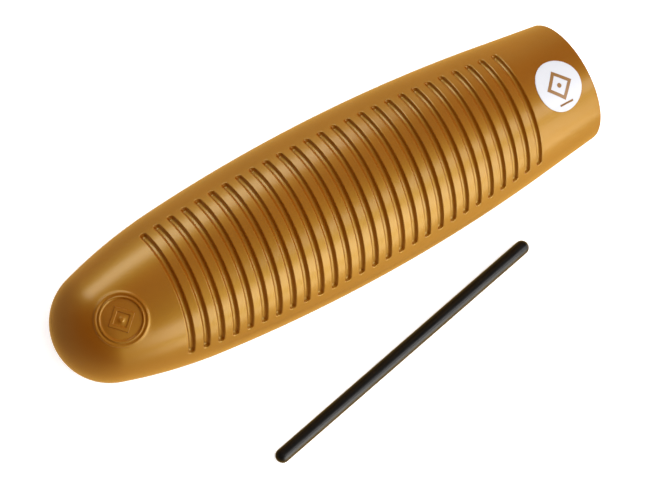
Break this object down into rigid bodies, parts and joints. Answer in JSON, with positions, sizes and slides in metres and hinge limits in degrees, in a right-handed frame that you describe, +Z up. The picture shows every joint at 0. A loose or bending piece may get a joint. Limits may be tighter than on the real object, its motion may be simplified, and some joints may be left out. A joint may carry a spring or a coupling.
{
  "type": "guiro",
  "caption": "Hollow synthetic hand guiro: bullet-shaped bonded shell with leaning scrape grooves, closed nose and open mouth, and a loose round-ended scraper stick.",
  "frame": {"origin": "centre of the box round body and stick, on the surface that they lie on", "axes": "+X along the body from its closed nose to its open mouth, +Y across it away from the stick, +Z up through the grooves"},
  "size_m": [0.38, 0.1846, 0.1072],
  "materials": {
    "shell_gold": "satin metallic gold lacquer over moulded plastic",
    "label_white": "smooth white vinyl label",
    "foil_gold": "pressed gold foil",
    "stick_black": "satin black moulded plastic"
  },
  "bodies": {
    "guiro_body": {"top_shell": "shell_gold", "bottom_shell": "shell_gold", "badge": "label_white", "badge_emblem": "foil_gold"},
    "scraper": {"scraper_stick": "stick_black"}
  },
  "joints": [
    {"name": "scraper_lift", "type": "slide", "parent": "guiro_body", "child": "scraper", "axis": [0, 0, 1], "range_m": [0, 0.15]}
  ]
}
